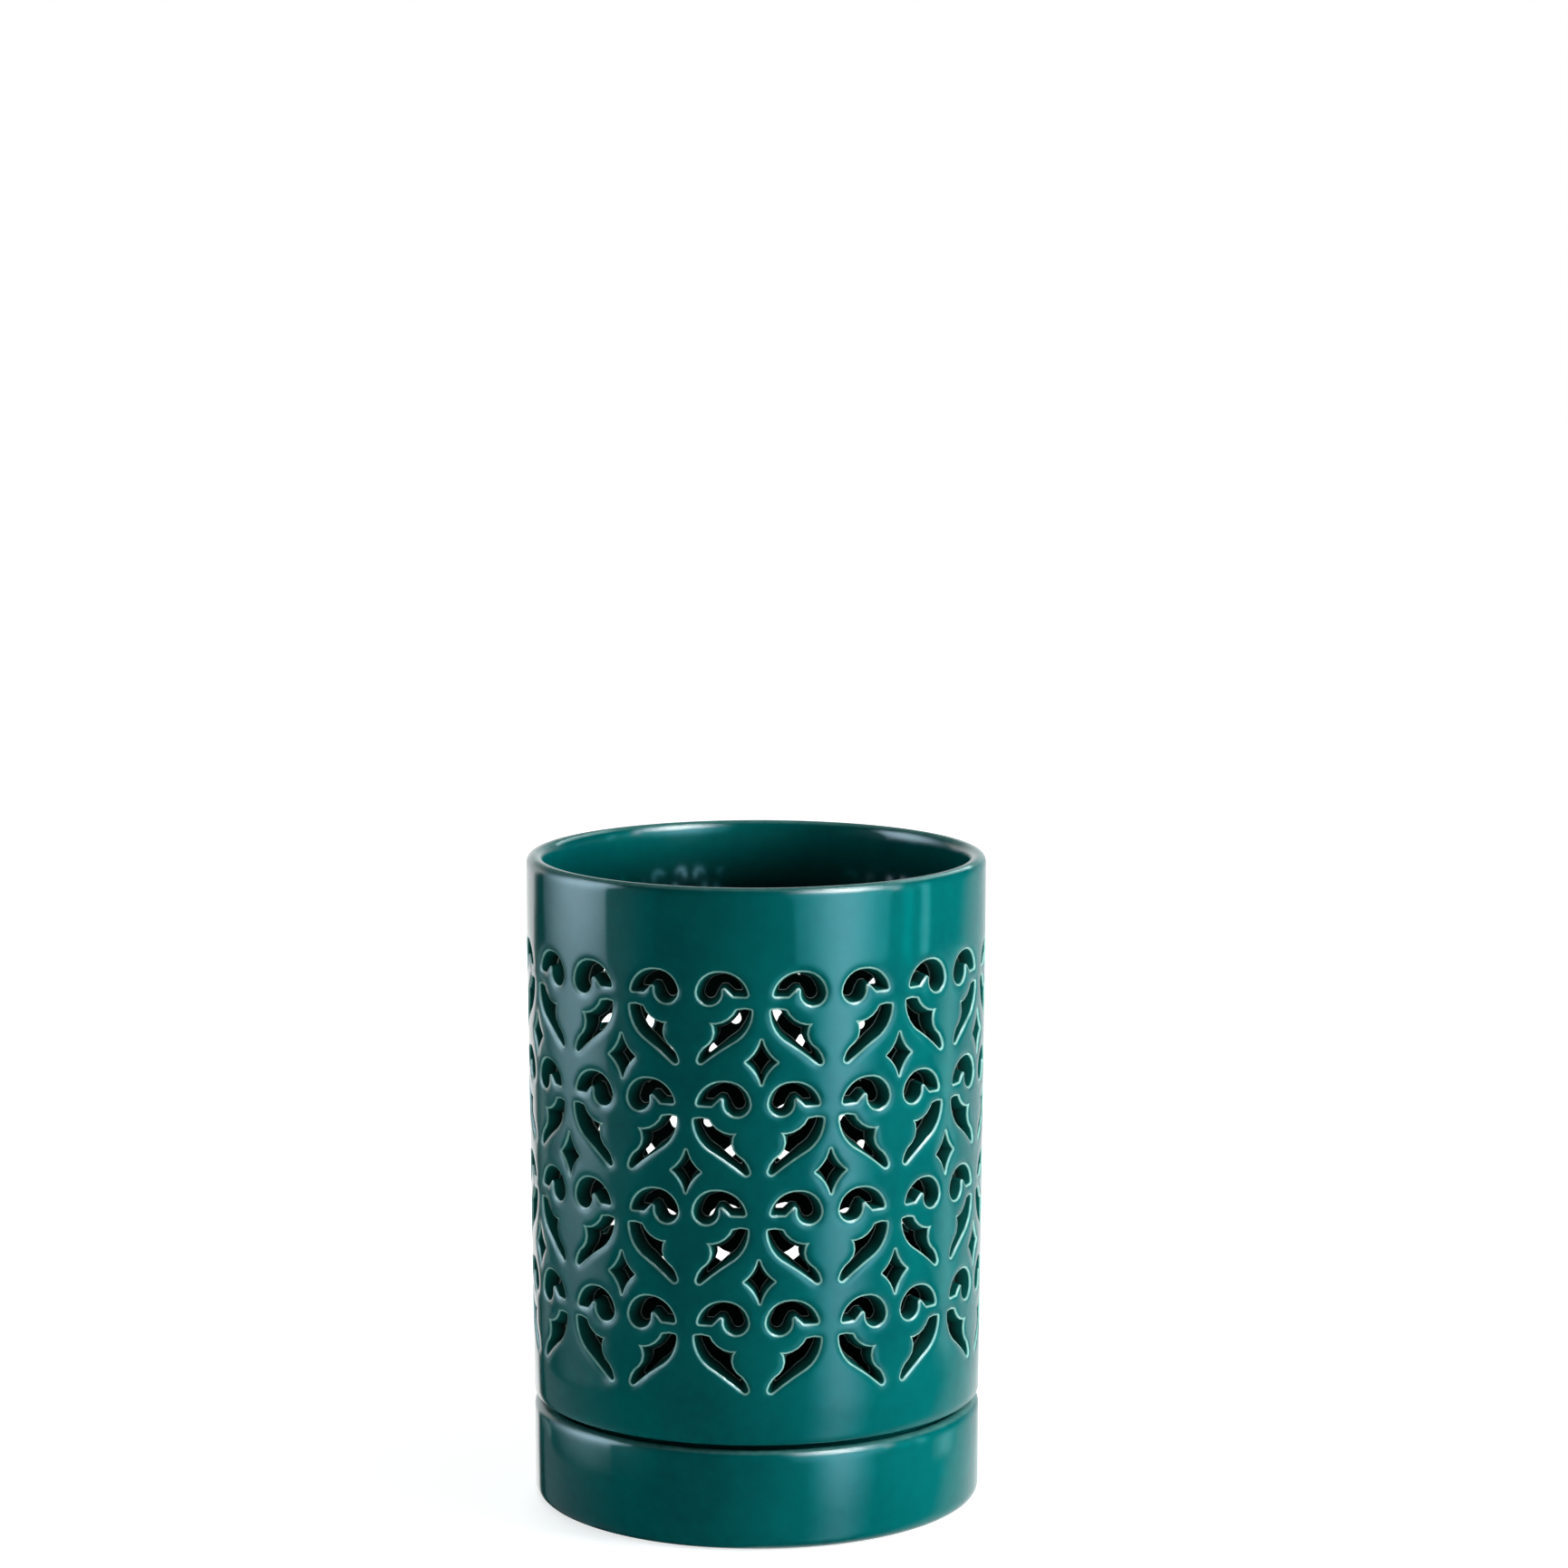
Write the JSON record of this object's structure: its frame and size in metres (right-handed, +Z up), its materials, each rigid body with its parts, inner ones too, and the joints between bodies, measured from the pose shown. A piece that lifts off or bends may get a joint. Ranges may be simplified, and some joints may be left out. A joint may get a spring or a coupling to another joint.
{
  "type": "orchid pot",
  "caption": "Cylindrical glazed ceramic orchid pot whose wall is pierced with scroll, leaf and diamond slots to air the roots, standing in a matching drip saucer.",
  "frame": {"origin": "on the pot's axis, at the surface the saucer stands on", "axes": "+Z up along the pot's axis, -Y towards the front, where a cell of the slot pattern is centred"},
  "size_m": [0.162, 0.162, 0.23],
  "materials": {
    "teal_glaze": "glossy teal glaze, paler where it thins over edges"
  },
  "bodies": {
    "saucer": {"saucer": "teal_glaze"},
    "pot": {"slotted_pot": "teal_glaze"}
  },
  "joints": [
    {"name": "pot_lift", "type": "slide", "parent": "saucer", "child": "pot", "axis": [0, 0, 1], "range_m": [0, 0.06]}
  ]
}
